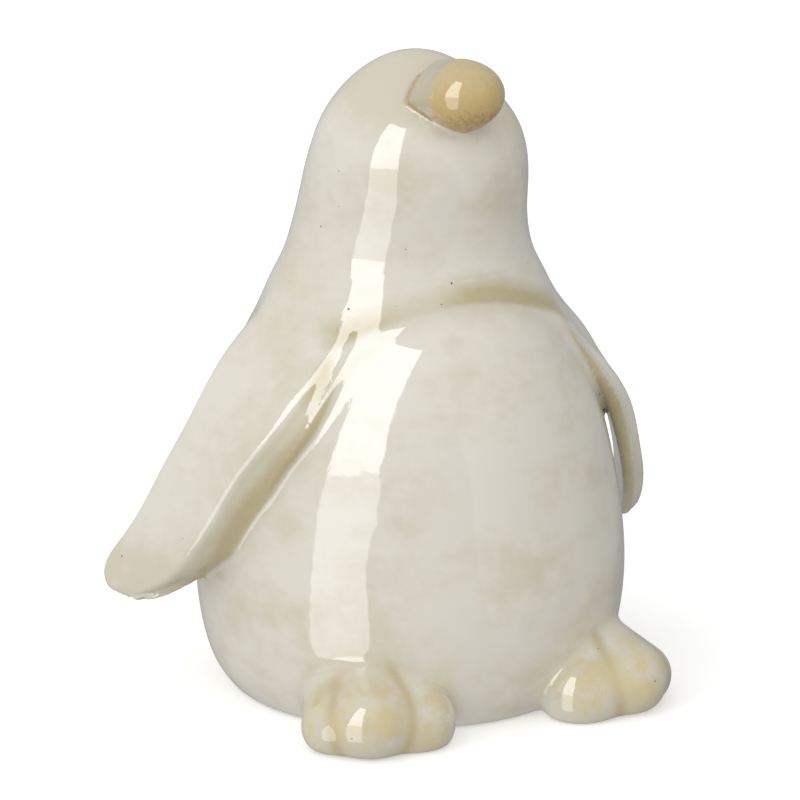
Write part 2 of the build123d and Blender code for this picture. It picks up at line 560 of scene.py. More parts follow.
@dataclass
class Figure:
    """The whole penguin: its members, the fillets between them and the hollow inside.

    Attributes:
        floor_edge: Width of the rounded edge along the floor.
        crease_blend: Fillet between the hood and the belly in front.
        back_blend: Fillet between the hood and the belly behind.
        wing_blend: Fillet between the flippers and the hood, low down.
        shoulder_blend: The same at the shoulder.
        foot_blend: Fillet between the feet and the belly.
        beak_blend: Fillet between the beak and the head.
        wall: Thickness of the clay.
        wobble: Height of the unevenness of a surface finished by hand.
        back_start: Where the fillet between hood and belly starts to widen, going back.
        back_end: Where it has widened.
        shoulder_heights: Heights between which the shoulder's fillet comes in.
        shoulder_depths: Where it comes in from front to back.
        front_heights: Heights between which part of it comes in all round.
        front_share: How much of it does.
        belly_shares: Height, half width, half depth and lean of the belly's levels.
        hood_shares: The same of the hood's.
    """

    floor_edge: float = 0.0016
    crease_blend: float = 0.0028
    back_blend: float = 0.006
    wing_blend: float = 0.003
    shoulder_blend: float = 0.012
    foot_blend: float = 0.0026
    beak_blend: float = 0.0009
    wall: float = 0.0045
    wobble: float = 0.00012
    back_start: float = 0.006
    back_end: float = 0.022
    shoulder_heights: tuple[float, float] = (0.050, 0.063)
    shoulder_depths: tuple[float, float] = (-0.008, 0.003)
    front_heights: tuple[float, float] = (0.057, 0.066)
    front_share: float = 0.4
    belly_shares: tuple[tuple[float, float, float, float], ...] = (
        (0.00, 0.835, 0.80, -0.20),
        (0.05, 0.915, 0.88, -0.15),
        (0.10, 0.955, 0.935, -0.05),
        (0.17, 0.985, 0.975, 0.00),
        (0.28, 1.00, 1.00, 0.00),
        (0.38, 0.985, 0.985, -0.05),
        (0.50, 0.935, 0.955, -0.15),
        (0.60, 0.88, 0.91, -0.30),
        (0.70, 0.80, 0.85, -0.45),
        (0.80, 0.68, 0.76, -0.60),
        (0.87, 0.55, 0.665, -0.65),
        (0.92, 0.41, 0.55, -0.65),
        (0.965, 0.245, 0.355, -0.60),
        (1.00, 0.03, 0.04, -0.55),
    )
    hood_shares: tuple[tuple[float, float, float, float], ...] = (
        (0.37, 0.905, 1.095, 0.65),
        (0.41, 0.94, 1.075, 0.65),
        (0.44, 0.965, 1.05, 0.65),
        (0.48, 0.97, 1.01, 0.65),
        (0.52, 0.92, 0.965, 0.55),
        (0.55, 0.875, 0.93, 0.40),
        (0.60, 0.785, 0.87, 0.25),
        (0.64, 0.725, 0.825, 0.20),
        (0.68, 0.655, 0.77, 0.20),
        (0.72, 0.615, 0.725, 0.10),
        (0.76, 0.59, 0.70, -0.20),
        (0.79, 0.58, 0.69, -0.50),
        (0.83, 0.565, 0.68, -0.80),
        (0.86, 0.545, 0.655, -1.00),
        (0.90, 0.495, 0.60, -1.00),
        (0.935, 0.41, 0.495, -0.90),
        (0.965, 0.305, 0.37, -0.70),
        (0.985, 0.20, 0.24, -0.60),
        (0.996, 0.105, 0.125, -0.60),
        (1.00, 0.03, 0.035, -0.60),
    )

    def __post_init__(self) -> None:
        """Takes the sizes of the members from the CAD nodes' boxes."""
        belly_low, belly_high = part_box("belly_shell")
        _, hood_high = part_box("head_shell")
        _, wing_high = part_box("left_wing")
        foot_low, foot_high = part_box("left_foot")
        _, beak_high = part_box("beak")
        disc_low, disc_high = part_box("base_disc")
        centre = (belly_low.y + belly_high.y) / 2
        width = belly_high.x
        hood_width = hood_high.x / 0.98
        self.centre = centre
        self.crown = hood_high.z
        self.belly = Egg(
            height=belly_high.z * 1.0375,
            half_width=width,
            half_depth=(belly_high.y - belly_low.y) / 2,
            centre=centre,
            lean=width * 0.124,
            shares=list(self.belly_shares),
        )
        self.hood = Egg(
            height=hood_high.z,
            half_width=hood_width,
            half_depth=hood_width * 0.848,
            centre=centre,
            lean=hood_width * 0.0923,
            shares=list(self.hood_shares),
        )
        self.wings = {
            side: Wing(
                side=side,
                reach=wing_high.x * (0.991 if side is Side.RIGHT else 0.966),
                sweep=wing_high.x * 0.278,
                root=wing_high.z * 1.013,
                centre=centre,
                webbed=side is Side.RIGHT,
                drop=1.0 if side is Side.RIGHT else 0.96,
            )
            for side in Side
        }
        foot_size = foot_high.x - foot_low.x
        self.feet = {
            side: Foot(
                side=side,
                heel=(foot_high.x * 0.558, foot_low.y + foot_size * 0.889, foot_size * 0.295),
                heel_radius=foot_size * 0.338,
                reach=foot_size * 0.657,
                toe_radius=foot_size * 0.264,
            )
            for side in Side
        }
        self.beak = Beak(
            root=(beak_high.y - beak_high.x * 0.31, self.crown * 0.940),
            length=beak_high.x * 2.22,
            half_width=beak_high.x * 1.05,
            half_height=beak_high.x * 0.92,
            rise=15,
        )
        self.pour_radius = disc_high.x
        self.pour_y = (disc_low.y + disc_high.y) / 2
        self.pour_top = disc_high.z + self.wall / 4

    def forms(self) -> dict[Member, Form]:
        """Lists the members' forms.

        Returns:
            The form of each member.
        """
        return {
            Member.BELLY: self.belly,
            Member.HOOD: self.hood,
            Member.LEFT_WING: self.wings[Side.LEFT],
            Member.RIGHT_WING: self.wings[Side.RIGHT],
            Member.BEAK: self.beak,
            Member.LEFT_FOOT: self.feet[Side.LEFT],
            Member.RIGHT_FOOT: self.feet[Side.RIGHT],
        }

    def distances(self, x: Array, y: Array, z: Array) -> dict[Member, Array]:
        """Distance from each point to each member's form, before they are joined."""
        return {member: form.distance(x, y, z) for member, form in self.forms().items()}

    def skin(self, near: dict[Member, Array], x: Array, y: Array, z: Array) -> Array:
        """Joins the members with their fillets.

        Args:
            near: Distance to each member.
            x: Points' x.
            y: Points' y.
            z: Points' z.

        Returns:
            The distance to the outer surface of the whole figure.
        """
        torso = near[Member.HOOD]
        behind = fade(z, *self.shoulder_heights) * fade(y, *self.shoulder_depths)
        share = np.maximum(behind, fade(z, *self.front_heights) * self.front_share)
        soft = self.wing_blend + share * (self.shoulder_blend - self.wing_blend)
        for member in (Member.LEFT_WING, Member.RIGHT_WING):
            torso = smooth_min(torso, near[member], soft)
        share = fade(y, self.back_start, self.back_end)
        blend = self.crease_blend + share * (self.back_blend - self.crease_blend)
        whole = smooth_min(torso, near[Member.BELLY], blend)
        for member in (Member.LEFT_FOOT, Member.RIGHT_FOOT):
            whole = smooth_min(whole, near[member], self.foot_blend)
        whole = smooth_min(whole, near[Member.BEAK], self.beak_blend)
        waves = np.sin(x * 210 + y * 90 + 1.3) * np.sin(y * 190 - z * 70) * np.sin(z * 170 + x * 60 + 0.7)
        return smooth_max(whole + self.wobble * waves, -z, self.floor_edge)

    def solid(self, near: dict[Member, Array], skin: Array, x: Array, y: Array, z: Array) -> Array:
        """Takes the hollow and the pour hole out of the figure.

        Args:
            near: Distance to each member.
            skin: Distance to the outer surface.
            x: Points' x.
            y: Points' y.
            z: Points' z.

        Returns:
            A distance that is negative in clay.
        """
        shell = np.minimum(near[Member.BELLY], near[Member.HOOD])
        hollow = np.maximum(skin, shell) + self.wall
        pour = np.maximum(np.hypot(x, y - self.pour_y) - self.pour_radius, z - self.pour_top)
        return np.maximum(skin, -np.minimum(hollow, pour))

    def own(self, near: dict[Member, Array]) -> dict[Member, Array]:
        """Shares out the clay where members overlap: the belly comes first, then the hood.

        Args:
            near: Distance to each member.

        Returns:
            The distance from each point to what each member keeps.
        """
        belly = near[Member.BELLY]
        hood = near[Member.HOOD]
        kept = {
            Member.BELLY: belly,
            Member.HOOD: np.maximum(hood, -belly),
            Member.BEAK: np.maximum(near[Member.BEAK], -hood),
        }
        for member in (Member.LEFT_WING, Member.RIGHT_WING):
            kept[member] = np.maximum(near[member], np.maximum(-hood, -belly))
        for member in (Member.LEFT_FOOT, Member.RIGHT_FOOT):
            kept[member] = np.maximum(near[member], -belly)
        return kept

    def labels(self, near: dict[Member, Array], solid: Array) -> Array:
        """Says which member each point belongs to.

        Args:
            near: Distance to each member.
            solid: Distance to the clay's surface.

        Returns:
            Each point's label, which is zero in air.
        """
        best = np.full(solid.shape, 1.0)
        label = np.zeros(solid.shape, np.int8)
        for member, value in self.own(near).items():
            closer = value < best
            best[closer] = value[closer]
            label[closer] = member.value
        label[solid >= 0] = 0
        return label


@dataclass
class Shells:
    """The figure's surfaces as one net of four-sided faces.

    Attributes:
        points: Place of each vertex.
        normals: Direction out of the clay at each vertex.
        faces: The four corners of each face.
        inner: Label on the side that each face turns its back to.
        outer: Label on the side that it looks at.
        marks: What the glaze does at each vertex.
    """

    points: Array
    normals: Array
    faces: Array
    inner: Array
    outer: Array
    marks: dict[str, Array] = field(default_factory=dict)

    def of(self, member: Member) -> tuple[Array, Array]:
        """Takes out one member's shell.

        Args:
            member: The member.

        Returns:
            Its faces, turned outwards, and for each whether it lies against another member.
        """
        ahead = self.inner == member.value
        behind = self.outer == member.value
        faces = np.concatenate([self.faces[ahead], self.faces[behind][:, [0, 3, 2, 1]]])
        across = np.concatenate([self.outer[ahead], self.inner[behind]])
        return faces, across > 0

    def skin(self) -> Array:
        """Takes out the faces that the outside air touches.

        Returns:
            The faces, turned outwards.
        """
        ahead = (self.inner > 0) & (self.outer == 0)
        behind = (self.outer > 0) & (self.inner == 0)
        return np.concatenate([self.faces[ahead], self.faces[behind][:, ::-1]])


@dataclass
class Caster:
    """Cuts the figure's field into shells on a grid, and draws their vertices onto the true surfaces.

    Attributes:
        figure: The figure.
        cell: Width of a grid cell.
        margin: Room round the figure.
        probe: Step with which slopes are measured.
        rounds: How often the vertices are drawn in.
        slab: How many rows of the grid are worked out at a time.
        skin_depth: Depth under the skin at which it is settled which member a place belongs to.
        flattest_seam: Least squared slope that a vertex's move to the members' border reckons with.
        flattest_skin: The same for its move to the surface.
        seam_pull: Share of the way to the border that is taken at a time.
        most_moved: How far a vertex may move, in cells.
    """

    figure: Figure
    cell: float = 0.00068
    margin: float = 0.0022
    probe: float = 0.00004
    rounds: int = 3
    slab: int = 12
    skin_depth: float = 0.0011
    flattest_seam: float = 0.3
    flattest_skin: float = 0.04
    seam_pull: float = 0.8
    most_moved: float = 0.75

    def cast(self) -> Shells:
        """Works out the shells of all members.

        Returns:
            The shells.
        """
        low, high = cad_bounds
        starts = [low[axis] - self.margin for axis in range(3)]
        starts[2] = -2.5 * self.cell
        axes = [
            start + self.cell * np.arange(int((high[axis] + self.margin - start) / self.cell) + 1)
            for axis, start in enumerate(starts)
        ]
        shape = [len(axis) for axis in axes]
        solid = np.empty(shape, np.float32)
        label = np.empty(shape, np.int8)
        for first in range(0, shape[0], self.slab):
            part = slice(first, first + self.slab)
            x, y, z = np.meshgrid(axes[0][part], axes[1], axes[2], indexing="ij", sparse=True)
            near = self.figure.distances(x, y, z)
            skin = self.figure.skin(near, x, y, z)
            clay = self.figure.solid(near, skin, x, y, z)
            marked = self.figure.labels(near, clay)
            marked[(marked == 0) & (skin < -self.figure.wall / 2) & (z > self.figure.pour_top)] = -1
            solid[part] = clay
            label[part] = marked
        self.square_up(label, solid, axes)
        points, faces, inner, outer, seam = self.net(label, solid, np.array(starts))
        points = self.draw_in(points, seam)
        return Shells(points, self.slopes(points), faces, inner, outer)

    def square_up(self, label: Array, solid: Array, axes: list[Array]) -> None:
        """Makes the borders between members meet the skin squarely, so that none thins out to nothing.

        Args:
            label: Label of each grid point, which is changed in place.
            solid: Distance at each grid point.
            axes: Places of the grid's rows along x, y and z.
        """
        spots = np.argwhere((label > 0) & (solid > -self.skin_depth))
        points = np.stack([axis[spots[:, index]] for index, axis in enumerate(axes)], axis=1)
        skin = self.skin_at(points)
        close = skin > -self.skin_depth
        spots, points, skin = spots[close], points[close], skin[close]
        found = []
        for axis in range(3):
            step = np.zeros(3)
            step[axis] = self.probe
            found.append(self.skin_at(points + step) - self.skin_at(points - step))
        slope = np.stack(found, axis=1)
        slope /= np.maximum(np.linalg.norm(slope, axis=1), 1e-12)[:, None]
        deeper = points - slope * (skin + self.skin_depth)[:, None]
        own = self.figure.own(self.figure.distances(*deeper.T))
        table = np.stack([own[member] for member in Member])
        label[tuple(spots.T)] = table.argmin(0) + 1

    def skin_at(self, points: Array) -> Array:
        """Distance to the outer surface at scattered points."""
        return self.figure.skin(self.figure.distances(*points.T), *points.T)

    def net(self, label: Array, solid: Array, start: Array) -> tuple[Array, Array, Array, Array, Array]:
        """Puts a vertex in every cell that a border crosses, and a face round every edge that one crosses.

        Args:
            label: Label of each grid point.
            solid: Distance at each grid point.
            start: Place of the first grid point.

        Returns:
            The vertices, the faces, the label before and behind each face, and for each vertex the two
            lowest labels that meet there and whether it touches air.
        """
        shape = np.array(label.shape)
        strides = np.array([shape[1] * shape[2], shape[2], 1])
        flat_label = label.ravel()
        flat_solid = solid.ravel()
        cells, spots, befores, afters = [], [], [], []
        for axis in range(3):
            head = [slice(None)] * 3
            tail = [slice(None)] * 3
            head[axis] = slice(0, -1)
            tail[axis] = slice(1, None)
            place = np.argwhere(label[tuple(head)] != label[tuple(tail)])
            corner = place @ strides
            first = flat_label[corner]
            second = flat_label[corner + strides[axis]]
            one = flat_solid[corner]
            other = flat_solid[corner + strides[axis]]
            air = (first <= 0) | (second <= 0)
            share = np.where(air, np.clip(one / (one - other + 1e-12), 0.02, 0.98), 0.5)
            spot = place.astype(float)
            spot[:, axis] += share
            side = strides[(axis + 1) % 3]
            up = strides[(axis + 2) % 3]
            cells.append(np.stack([corner - side - up, corner - up, corner, corner - side], axis=1))
            spots.append(start + self.cell * spot)
            befores.append(first)
            afters.append(second)
        cells = np.concatenate(cells)
        spots = np.concatenate(spots)
        before = np.concatenate(befores)
        after = np.concatenate(afters)
        used, faces = np.unique(cells, return_inverse=True)
        faces = faces.reshape(-1, 4)
        counts = np.bincount(faces.ravel(), minlength=len(used))
        corners = faces.ravel()
        points = np.stack([
            np.bincount(corners, np.repeat(spots[:, axis], 4), len(used)) / counts for axis in range(3)
        ], axis=1)
        seam = np.zeros((len(used), len(Member) + 1), bool)
        for labels in (before, after):
            for corner in range(4):
                kept = labels > 0
                seam[faces[kept, corner], labels[kept]] = True
        pair = np.zeros((len(used), 2), int)
        several = seam.sum(1) >= 2
        pair[several, 0] = seam[several].argmax(1)
        seam[np.arange(len(used)), pair[:, 0]] &= ~several
        pair[several, 1] = seam[several].argmax(1)
        airy = np.zeros(len(used), bool)
        for labels in (before, after):
            airy[faces[labels <= 0].ravel()] = True
        # A hidden face is split through a deep corner, so that no half of it lies in the skin
        capped = (before > 0) & (after > 0)
        deep = (capped[:, None] & airy[faces]).argmin(1)
        faces = np.take_along_axis(faces, (np.arange(4) + deep[:, None]) % 4, axis=1)
        return points, faces, before, after, np.column_stack([pair, airy])

    def fields(self, points: Array) -> tuple[Array, dict[Member, Array]]:
        """Works out the fields at scattered points.

        Args:
            points: The points.

        Returns:
            The distance to the clay's surface, and each member's own distance.
        """
        x, y, z = points.T
        near = self.figure.distances(x, y, z)
        skin = self.figure.skin(near, x, y, z)
        return self.figure.solid(near, skin, x, y, z), self.figure.own(near)

    def border(self, points: Array, seam: Array) -> tuple[Array, Array]:
        """Works out how far each vertex is from the clay's surface and from its seam.

        Args:
            points: The vertices.
            seam: The two labels that meet at each vertex.

        Returns:
            The distance to the clay's surface, and how much nearer the first member is than the second.
        """
        solid, own = self.fields(points)
        table = np.stack([np.zeros(len(points))] + [own[member] for member in Member])
        rows = np.arange(len(points))
        return solid, table[seam[:, 0], rows] - table[seam[:, 1], rows]

    def draw_in(self, points: Array, seam: Array) -> Array:
        """Moves the vertices onto the surface of the clay and, deep inside, onto the members' border.

        Args:
            points: The vertices.
            seam: The two labels that meet at each, and whether it touches air.

        Returns:
            The vertices' new places.
        """
        start = points
        airy = seam[:, 2] > 0
        seamed = seam[:, 0] > 0
        for _ in range(self.rounds):
            solid, border = self.border(points, seam)
            slopes = []
            for axis in range(3):
                step = np.zeros(3)
                step[axis] = self.probe
                ahead = self.border(points + step, seam)
                behind = self.border(points - step, seam)
                slopes.append([(one - other) / (2 * self.probe) for one, other in zip(ahead, behind)])
            rise = np.stack([pair[0] for pair in slopes], axis=1)
            turn = np.stack([pair[1] for pair in slopes], axis=1)
            moved = points.copy()
            inside = seamed & ~airy & (solid < -self.skin_depth - 2 * self.cell)
            length = np.maximum((turn * turn).sum(1), self.flattest_seam)
            moved[inside] -= (turn * (border / length)[:, None])[inside] * self.seam_pull
            rise_length = np.maximum((rise * rise).sum(1), self.flattest_skin)
            drop = solid + (rise * (moved - points)).sum(1)
            moved[airy] -= (rise * (drop / rise_length)[:, None])[airy]
            away = moved - start
            reach = np.linalg.norm(away, axis=1)
            most = self.most_moved * self.cell
            points = start + away * np.minimum(1, most / np.maximum(reach, 1e-9))[:, None]
        return points

    def slopes(self, points: Array) -> Array:
        """Works out which way is out of the clay.

        Args:
            points: The points.

        Returns:
            The direction at each.
        """
        found = []
        for axis in range(3):
            step = np.zeros(3)
            step[axis] = self.probe * 2
            found.append(self.fields(points + step)[0] - self.fields(points - step)[0])
        slope = np.stack(found, axis=1)
        return slope / np.maximum(np.linalg.norm(slope, axis=1), 1e-12)[:, None]


class Tree:
    """A short way to lay out a node tree."""

    def __init__(self, tree: bpy.types.NodeTree) -> None:
        """Keeps the tree."""
        self.tree = tree

    def node(self, kind: str, inputs: dict | None = None, **settings: object) -> bpy.types.Node:
        """Adds a node.

        Args:
            kind: The node's type.
            inputs: What goes into its sockets, by name or number: a socket to link, or a value.
            settings: The node's own settings.

        Returns:
            The node.
        """
        made = self.tree.nodes.new(kind)
        for name, value in settings.items():
            setattr(made, name, value)
        for name, value in (inputs or {}).items():
            socket = made.inputs[name]
            if isinstance(value, bpy.types.NodeSocket):
                self.tree.links.new(value, socket)
            else:
                socket.default_value = value
        return made

    def math(self, operation: str, one: object, other: object = 0.0) -> bpy.types.NodeSocket:
        """Works out one number from two."""
        return self.node("ShaderNodeMath", {0: one, 1: other}, operation=operation).outputs[0]

    def spread(
        self, value: object, low: float, high: float, start: float = 0.0, end: float = 1.0
    ) -> bpy.types.NodeSocket:
        """Runs smoothly from start to end as the value goes from low to high."""
        sockets = {"Value": value, "From Min": low, "From Max": high, "To Min": start, "To Max": end}
        return self.node("ShaderNodeMapRange", sockets, interpolation_type="SMOOTHSTEP").outputs[0]

    def noise(
        self, place: object, scale: float, detail: float = 2.0, roughness: float = 0.5
    ) -> bpy.types.NodeSocket:
        """Smooth random values from 0 to 1."""
        sockets = {"Vector": place, "Scale": scale, "Detail": detail, "Roughness": roughness}
        return self.node("ShaderNodeTexNoise", sockets).outputs[0]

    def colour(self, share: object, one: object, other: object, blend: str = "MIX") -> bpy.types.NodeSocket:
        """Mixes two colours."""
        sockets = {0: share, 6: one, 7: other}
        return self.node("ShaderNodeMix", sockets, data_type="RGBA", blend_type=blend).outputs[2]

    def mark(self, name: str) -> bpy.types.NodeSocket:
        """Reads one of the numbers that each vertex carries."""
        return self.node("ShaderNodeAttribute", attribute_name=name).outputs["Fac"]


def new_material(name: str) -> tuple[bpy.types.Material, Tree]:
    """Makes an empty material.

    Args:
        name: Its name.

    Returns:
        The material and its tree.
    """
    material = bpy.data.materials.new(name)
    material.use_nodes = True
    material.node_tree.nodes.clear()
    return material, Tree(material.node_tree)


Colour = tuple[float, float, float, float]


@dataclass(frozen=True)
class Glaze:
    """Cream glaze with beige on the bib's edge, where it breaks thin and where the shade of the undercut is
    painted on, a brown line of painted shade in creases, and ochre on beak and toes.

    Attributes:
        cream: The glaze where it lies thick.
        shade: Its thinner patches.
        beige: The clay that shows through where the glaze breaks thin on the bib's edge, also laid on as
            painted shade in the undercut where hood and flippers meet the belly.
        crease_shade: Painted shade, a brown line laid in a crease where shade falls.
        honey: The yellow tint of the toes.
        ochre: The stain on the beak.
        straw: The same stain, paler, towards the top of the beak.
        rust: The dark streaks in that stain.
        slate: The grey flats beside the beak's root.
        clay: The bare sole.
        roughness: How dull the glaze is.
        index: How strongly it bends light.
        cloud_scale: Fineness of its broad clouds.
        brush_scales: Fineness of the brushed bands, across and along the height.
        grain_scale: Fineness of its grain.
        dust_scale: Fineness of its finest mottling.
        patch_scale: Fineness of the patches on the toes.
        bump: How uneven its surface looks.
        bump_height: How high that unevenness is.
    """

    cream: Colour = (0.72, 0.69, 0.605, 1)
    shade: Colour = (0.635, 0.585, 0.46, 1)
    beige: Colour = (0.50, 0.43, 0.25, 1)
    crease_shade: Colour = (0.46, 0.37, 0.20, 1)
    honey: Colour = (0.62, 0.52, 0.28, 1)
    ochre: Colour = (0.56, 0.405, 0.16, 1)
    straw: Colour = (0.54, 0.46, 0.28, 1)
    rust: Colour = (0.36, 0.22, 0.075, 1)
    slate: Colour = (0.50, 0.445, 0.325, 1)
    clay: Colour = (0.56, 0.50, 0.42, 1)
    roughness: float = 0.04
    index: float = 1.58
    cloud_scale: float = 55.0
    brush_scales: tuple[float, float, float] = (45.0, 45.0, 170.0)
    grain_scale: float = 330.0
    dust_scale: float = 1100.0
    patch_scale: float = 210.0
    bump: float = 0.2
    bump_height: float = 0.001

    def material(self) -> bpy.types.Material:
        """Builds the glaze's material.

        Returns:
            The material.
        """
        material, tree = new_material("cream_glaze")
        place = tree.node("ShaderNodeTexCoord").outputs["Object"]
        broad = tree.noise(place, self.cloud_scale, 3.0, 0.6)
        laid = tree.node("ShaderNodeMapping", {"Vector": place, "Scale": self.brush_scales})
        brushed = tree.noise(laid.outputs[0], 1.0, 3.0, 0.55)
        fine = tree.noise(place, self.grain_scale, 4.0, 0.6)
        mottle = tree.noise(place, self.dust_scale, 3.0, 0.7)
        cloud = tree.math("ADD", broad, tree.math("MULTIPLY", tree.math("SUBTRACT", brushed, 0.5), 0.55))
        cloud = tree.math("ADD", cloud, tree.math("MULTIPLY", tree.math("SUBTRACT", fine, 0.5), 0.35))
        cloud = tree.math("ADD", cloud, tree.math("MULTIPLY", tree.mark("thin"), 0.30))
        colour = tree.colour(tree.spread(cloud, 0.38, 0.82), self.cream, self.shade)
        ragged = tree.math("MULTIPLY", tree.math("SUBTRACT", tree.math("ADD", fine, mottle), 1.0), 0.35)
        # Beige on the bib's edge: partly the glaze breaking thin, partly painted shade in the undercut.
        bevel = tree.math("MULTIPLY", tree.mark("bevel"), tree.math("ADD", ragged, 1.0))
        colour = tree.colour(bevel, colour, self.beige)
        # Painted shade: a brown line darkens the creases of hood and flippers with the belly, round the
        # feet and between the toes.
        crease = tree.math("MULTIPLY", tree.mark("crease"), tree.math("ADD", ragged, 0.8))
        colour = tree.colour(crease, colour, self.crease_shade)
        patch = tree.spread(tree.noise(place, self.patch_scale, 4.0, 0.65), 0.38, 0.62)
        honey = tree.math("MULTIPLY", tree.mark("honey"), tree.math("ADD", patch, ragged))
        colour = tree.colour(honey, colour, self.honey)
        facet = tree.math("ADD", tree.mark("facet"), tree.math("MULTIPLY", ragged, 0.3))
        facet = tree.spread(facet, 0.3, 0.6)
        colour = tree.colour(facet, colour, self.slate)
        stain = tree.spread(tree.math("ADD", tree.mark("stain"), ragged), 0.15, 0.75)
        # The ochre gets denser brown streaks towards the beak's underside and turns paler towards its top.
        streak = tree.spread(tree.math("ADD", mottle, tree.mark("browner_below")), 0.62, 1.15)
        grain = tree.spread(mottle, 0.40, 0.62, -0.25, 0.25)
        pale = tree.math("ADD", tree.math("MULTIPLY", tree.mark("pale"), 0.65), grain)
        ochre = tree.colour(streak, tree.colour(pale, self.ochre, self.straw), self.rust)
        colour = tree.colour(stain, colour, ochre)
        colour = tree.colour(tree.math("MULTIPLY", tree.mark("outline"), 0.8), colour, self.rust)
        sole = tree.spread(tree.mark("sole"), 0.35, 0.65)
        colour = tree.colour(sole, colour, self.clay)
        gloss = tree.math("ADD", tree.math("MULTIPLY", sole, 0.6), self.roughness)
        height = tree.math("ADD", broad, tree.math("MULTIPLY", fine, 0.10))
        uneven = {"Strength": self.bump, "Distance": self.bump_height, "Height": height}
        bump = tree.node("ShaderNodeBump", uneven)
        sockets = {"Base Color": colour, "Roughness": gloss, "IOR": self.index, "Normal": bump.outputs[0]}
        shader = tree.node("ShaderNodeBsdfPrincipled", sockets)
        tree.node("ShaderNodeOutputMaterial", {"Surface": shader.outputs[0]})
        return material


@dataclass(frozen=True)
class BareClay:
    """Dry unglazed stoneware with fine grog in it."""

    clay: Colour = (0.58, 0.52, 0.43, 1)
    grog: Colour = (0.38, 0.31, 0.24, 1)

    def material(self) -> bpy.types.Material:
        """Builds the clay's material.

        Returns:
            The material.
        """
        material, tree = new_material("dry_clay")
        place = tree.node("ShaderNodeTexCoord").outputs["Object"]
        cloud = tree.noise(place, 90.0, 4.0)
        grain = tree.noise(place, 1500.0, 2.0)
        colour = tree.colour(tree.spread(grain, 0.60, 0.70), self.clay, self.grog)
        colour = tree.colour(tree.spread(cloud, 0.4, 0.8, 0.0, 0.35), colour, self.grog)
        bump = tree.node("ShaderNodeBump", {"Strength": 0.5, "Distance": 0.0004, "Height": grain})
        sockets = {"Base Color": colour, "Roughness": 0.85, "Normal": bump.outputs[0]}
        shader = tree.node("ShaderNodeBsdfPrincipled", sockets)
        tree.node("ShaderNodeOutputMaterial", {"Surface": shader.outputs[0]})
        return material


@dataclass(frozen=True)
class IronSpeck:
    """A bead of iron that melted dark in the glaze."""

    iron: Colour = (0.045, 0.028, 0.018, 1)
    halo: Colour = (0.13, 0.085, 0.05, 1)

    def material(self) -> bpy.types.Material:
        """Builds the speck's material.

        Returns:
            The material.
        """
        material, tree = new_material("iron_speck")
        place = tree.node("ShaderNodeTexCoord").outputs["Object"]
        colour = tree.colour(tree.spread(tree.noise(place, 700.0), 0.4, 0.7), self.iron, self.halo)
        shader = tree.node("ShaderNodeBsdfPrincipled", {"Base Color": colour, "Roughness": 0.3})
        tree.node("ShaderNodeOutputMaterial", {"Surface": shader.outputs[0]})
        return material


